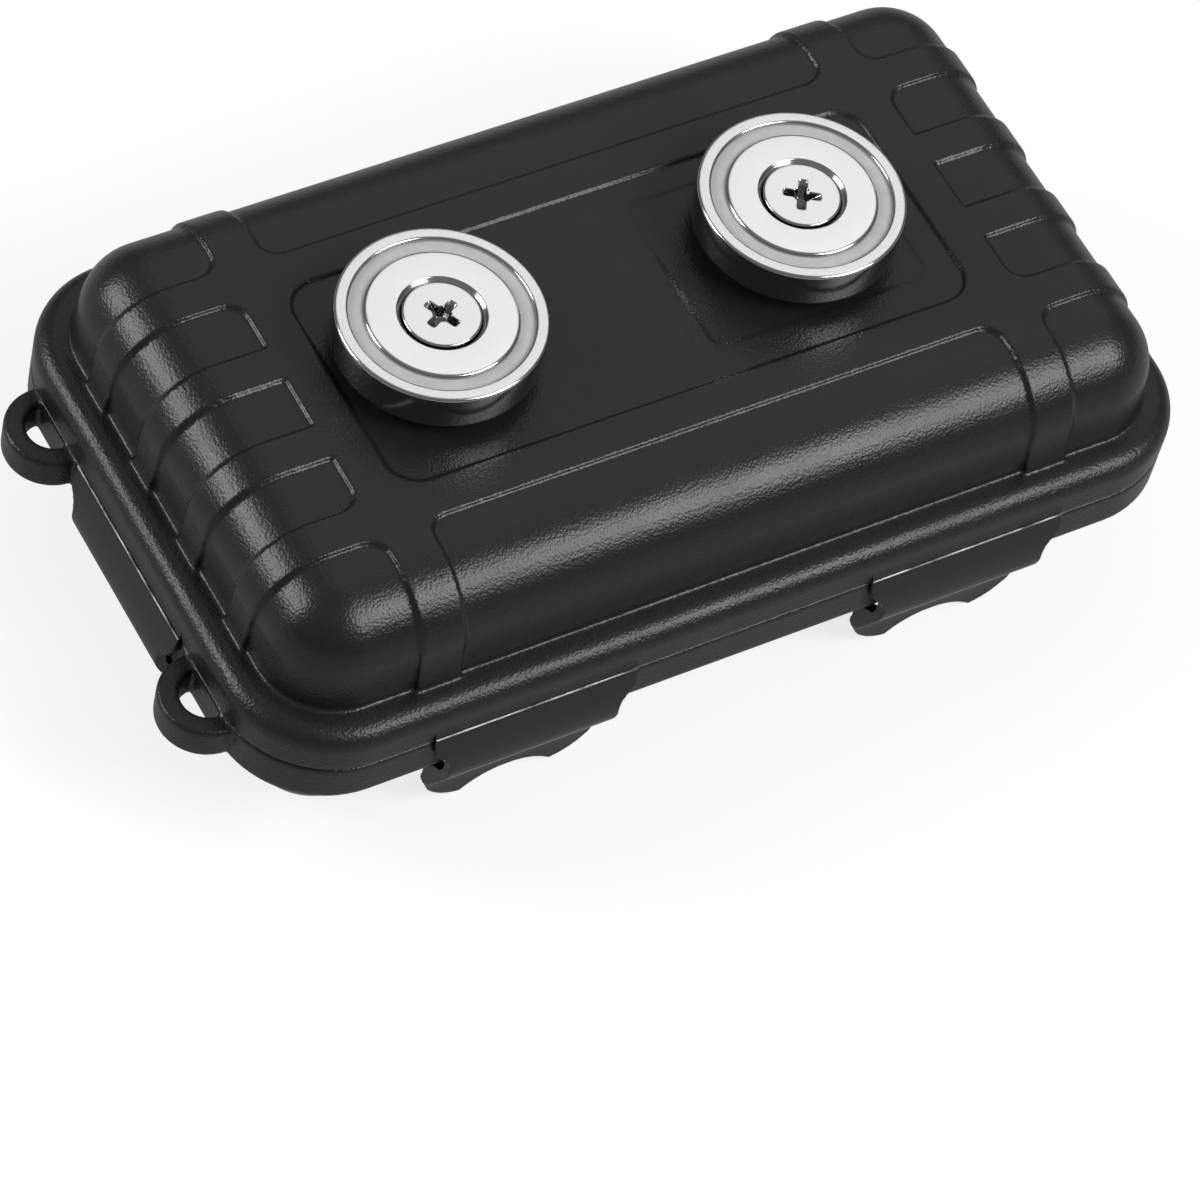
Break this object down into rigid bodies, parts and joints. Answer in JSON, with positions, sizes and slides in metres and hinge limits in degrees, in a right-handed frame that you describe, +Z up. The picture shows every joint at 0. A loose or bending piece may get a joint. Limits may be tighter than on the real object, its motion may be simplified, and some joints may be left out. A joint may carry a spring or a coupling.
{
  "type": "magnetic key holder box",
  "caption": "Hinged hard-plastic key box with swing latches, lanyard loops, foam lining, lid seal and round pot magnets screwed to the lid.",
  "frame": {"origin": "centre of the base shell's flat underside, with the box closed and lying on its base", "axes": "+Z up through the lid and out of the magnet faces, +Y towards the lid's film hinge, -Y towards the front latches, -X towards the lanyard loops"},
  "size_m": [0.1333, 0.0757, 0.0452],
  "materials": {
    "shell_plastic": "black moulded polypropylene with a fine leather grain and a satin gloss",
    "hinge_plastic": "black polypropylene worked by folding, slightly glossier",
    "seal_rubber": "soft black moulded rubber",
    "foam": "black open-cell polyurethane foam with a fine speckle",
    "magnet_nickel": "bright nickel plating, polished on the sides and satin on the pressed edges",
    "potting_resin": "grey cast resin, smooth",
    "screw_steel": "nickel-plated steel"
  },
  "bodies": {
    "base": {"base_shell": "shell_plastic", "base_foam": "foam", "hinge_strip": "hinge_plastic"},
    "lid": {"lid_shell": "shell_plastic", "lid_foam": "foam", "lid_gasket": "seal_rubber", "cup_left": "magnet_nickel", "cup_right": "magnet_nickel", "ring_magnet_left": "magnet_nickel", "ring_magnet_right": "magnet_nickel", "potting_left": "potting_resin", "potting_right": "potting_resin", "screw_left": "screw_steel", "screw_right": "screw_steel", "seal_washer_left": "seal_rubber", "seal_washer_right": "seal_rubber", "flat_washer_left": "screw_steel", "flat_washer_right": "screw_steel", "lock_nut_left": "screw_steel", "lock_nut_right": "screw_steel"},
    "front_latch_left": {"latch_front_left": "shell_plastic"},
    "front_latch_right": {"latch_front_right": "shell_plastic"},
    "side_latch_left": {"latch_left": "shell_plastic"},
    "side_latch_right": {"latch_right": "shell_plastic"}
  },
  "joints": [
    {"name": "lid_hinge", "type": "hinge", "parent": "base", "child": "lid", "pos_m": [0, 0.037, 0.0184], "axis": [-1, 0, 0], "range_deg": [0, 160]},
    {"name": "front_latch_left_fold", "type": "hinge", "parent": "lid", "child": "front_latch_left", "pos_m": [-0.0291, -0.0368, 0.0191], "axis": [-1, 0, 0], "range_deg": [0, 100]},
    {"name": "front_latch_right_fold", "type": "hinge", "parent": "lid", "child": "front_latch_right", "pos_m": [0.0291, -0.0368, 0.0191], "axis": [-1, 0, 0], "range_deg": [0, 100]},
    {"name": "side_latch_left_fold", "type": "hinge", "parent": "lid", "child": "side_latch_left", "pos_m": [-0.0633, 0, 0.0191], "axis": [0, 1, 0], "range_deg": [0, 100]},
    {"name": "side_latch_right_fold", "type": "hinge", "parent": "lid", "child": "side_latch_right", "pos_m": [0.0633, 0, 0.0191], "axis": [0, -1, 0], "range_deg": [0, 100]}
  ]
}
